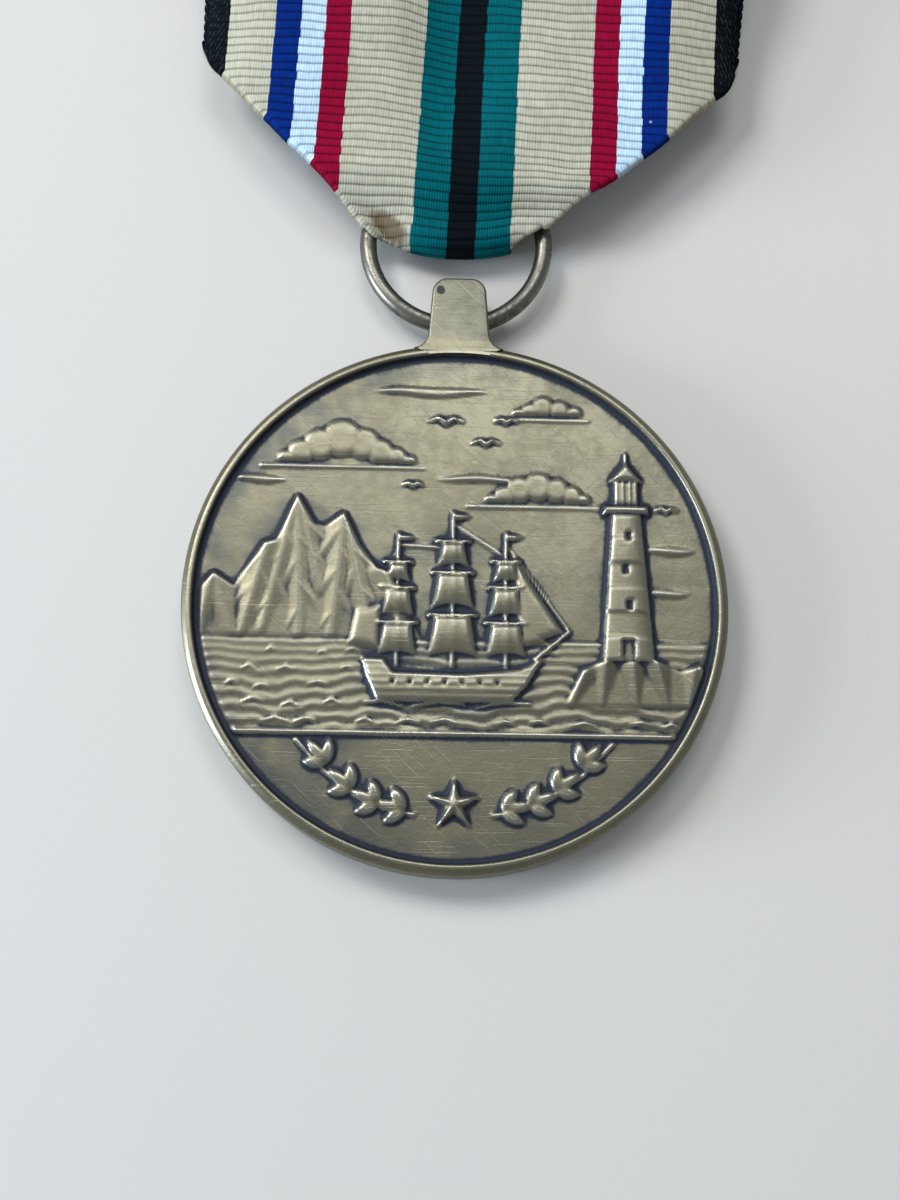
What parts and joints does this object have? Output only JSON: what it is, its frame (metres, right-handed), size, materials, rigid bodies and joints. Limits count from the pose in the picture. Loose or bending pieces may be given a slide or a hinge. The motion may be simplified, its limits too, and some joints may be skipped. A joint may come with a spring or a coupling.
{
  "type": "service medal",
  "caption": "Round bronze medal with a relief, hung by a wire ring from a pointed striped ribbon on a pin-back brooch.",
  "frame": {"origin": "centre of the blank tablet on the medallion's back, where the medallion lies on a surface", "axes": "+Z out of the medallion's face, +Y up the medal towards ribbon and brooch, +X to the viewer's right"},
  "size_m": [0.0366, 0.0736, 0.0061],
  "materials": {
    "antique_bronze": "antique bronze with dark patina in the recesses",
    "ring_wire": "dull drawn wire",
    "ribbon_cloth": "ribbed grosgrain with woven stripes",
    "gilt_brass": "gilt stamping",
    "nickel_steel": "nickel-plated wire"
  },
  "bodies": {
    "drape": {"ribbon": "ribbon_cloth", "brooch_bar": "gilt_brass", "brooch_plate": "gilt_brass", "pin_joint": "gilt_brass", "joint_rivet": "gilt_brass", "catch_base": "gilt_brass"},
    "ring": {"jump_ring": "ring_wire"},
    "medallion": {"medallion": "antique_bronze"},
    "pin": {"pin_stem": "nickel_steel"},
    "catch": {"catch_rotor": "gilt_brass"}
  },
  "joints": [
    {"name": "ring_swing", "type": "hinge", "parent": "drape", "child": "ring", "pos_m": [0, 0.03, 0.0014], "axis": [-1, 0, 0], "range_deg": [-45, 45], "deforming": ["ribbon"]},
    {"name": "medallion_swing", "type": "hinge", "parent": "ring", "child": "medallion", "pos_m": [0, 0.01782, 0.0014], "axis": [-1, 0, 0], "range_deg": [-130, 130]},
    {"name": "pin_swing", "type": "hinge", "parent": "drape", "child": "pin", "pos_m": [0.01334, 0.05211, 0.00175], "axis": [-0.0436, -0.999, 0], "range_deg": [0, 90]},
    {"name": "catch_turn", "type": "hinge", "parent": "drape", "child": "catch", "pos_m": [-0.01066, 0.05315, 0.00175], "axis": [0.999, -0.0436, 0], "range_deg": [0, 90]}
  ]
}
